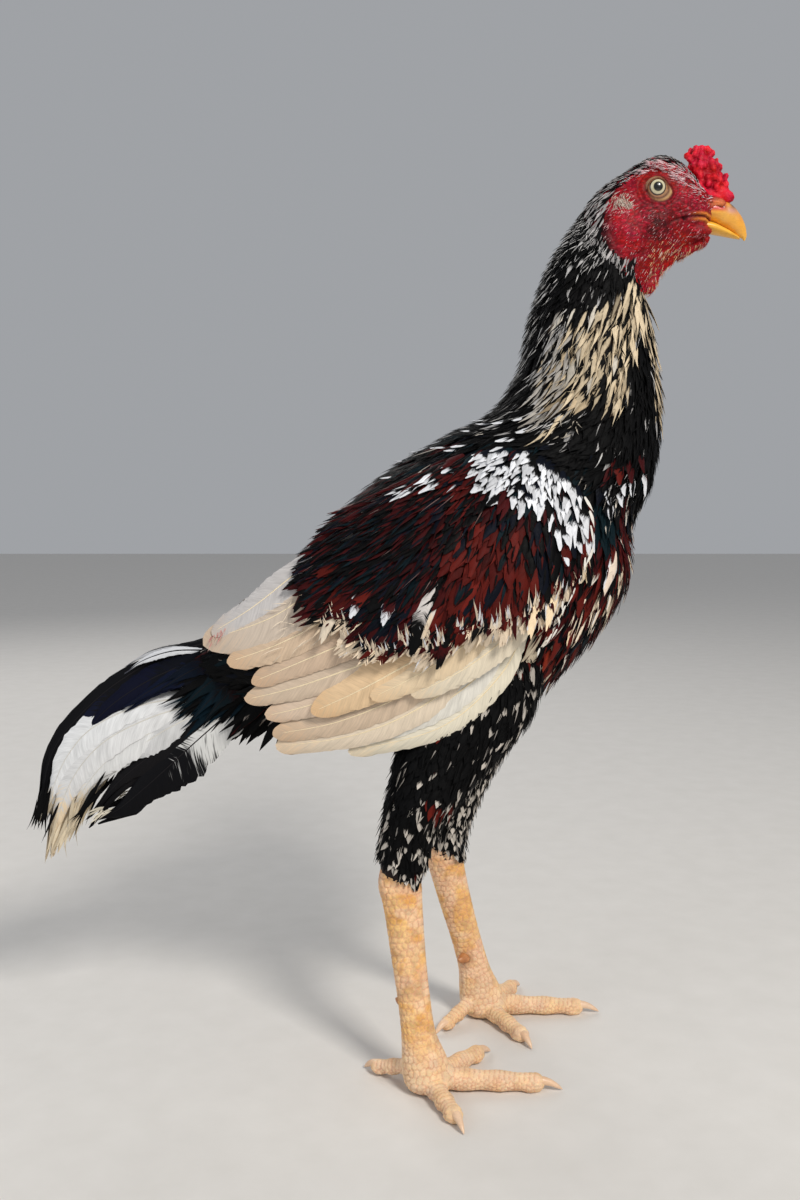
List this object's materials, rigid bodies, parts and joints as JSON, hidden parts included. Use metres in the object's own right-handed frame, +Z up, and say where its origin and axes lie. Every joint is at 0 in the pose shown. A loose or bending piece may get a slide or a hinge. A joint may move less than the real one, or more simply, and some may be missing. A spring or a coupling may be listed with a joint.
{
  "type": "aseel chicken",
  "caption": "Life-size standing Aseel cock with pea comb, long neck, folded wings, drooping tail and bare scaled legs.",
  "frame": {"origin": "centre of the bounding box in plan, at the level of the soles of the toes", "axes": "+Z up, +X the way the bird faces, +Y its left side"},
  "size_m": [0.4578, 0.2016, 0.5849],
  "materials": {
    "red_skin": "satin",
    "black_plumage": "glossy feather",
    "maroon_plumage": "glossy feather",
    "cream_plumage": "matt feather",
    "yellow_scales": "satin",
    "yellow_horn": "horn",
    "pale_claw": "horn",
    "pale_iris": "wet gloss"
  },
  "bodies": {
    "root": {"beak_lower": "yellow_horn", "beak_upper": "yellow_horn", "claw_left_hind": "pale_claw", "claw_left_inner": "pale_claw", "claw_left_middle": "pale_claw", "claw_left_outer": "pale_claw", "claw_right_hind": "pale_claw", "claw_right_inner": "pale_claw", "claw_right_middle": "pale_claw", "claw_right_outer": "pale_claw", "comb": "red_skin", "dewlap": "red_skin", "earlobe_left": "red_skin", "earlobe_right": "red_skin", "eye_left": "pale_iris", "eye_right": "pale_iris", "head": "red_skin", "neck": "black_plumage", "saddle": "maroon_plumage", "shank_left": "yellow_scales", "shank_right": "yellow_scales", "spur_left": "yellow_scales", "spur_right": "yellow_scales", "tail": "black_plumage", "thigh_left": "black_plumage", "thigh_right": "black_plumage", "toe_left_hind": "yellow_scales", "toe_left_inner": "yellow_scales", "toe_left_middle": "yellow_scales", "toe_left_outer": "yellow_scales", "toe_right_hind": "yellow_scales", "toe_right_inner": "yellow_scales", "toe_right_middle": "yellow_scales", "toe_right_outer": "yellow_scales", "torso": "black_plumage", "wing_left": "cream_plumage", "wing_right": "cream_plumage"}
  },
  "joints": []
}
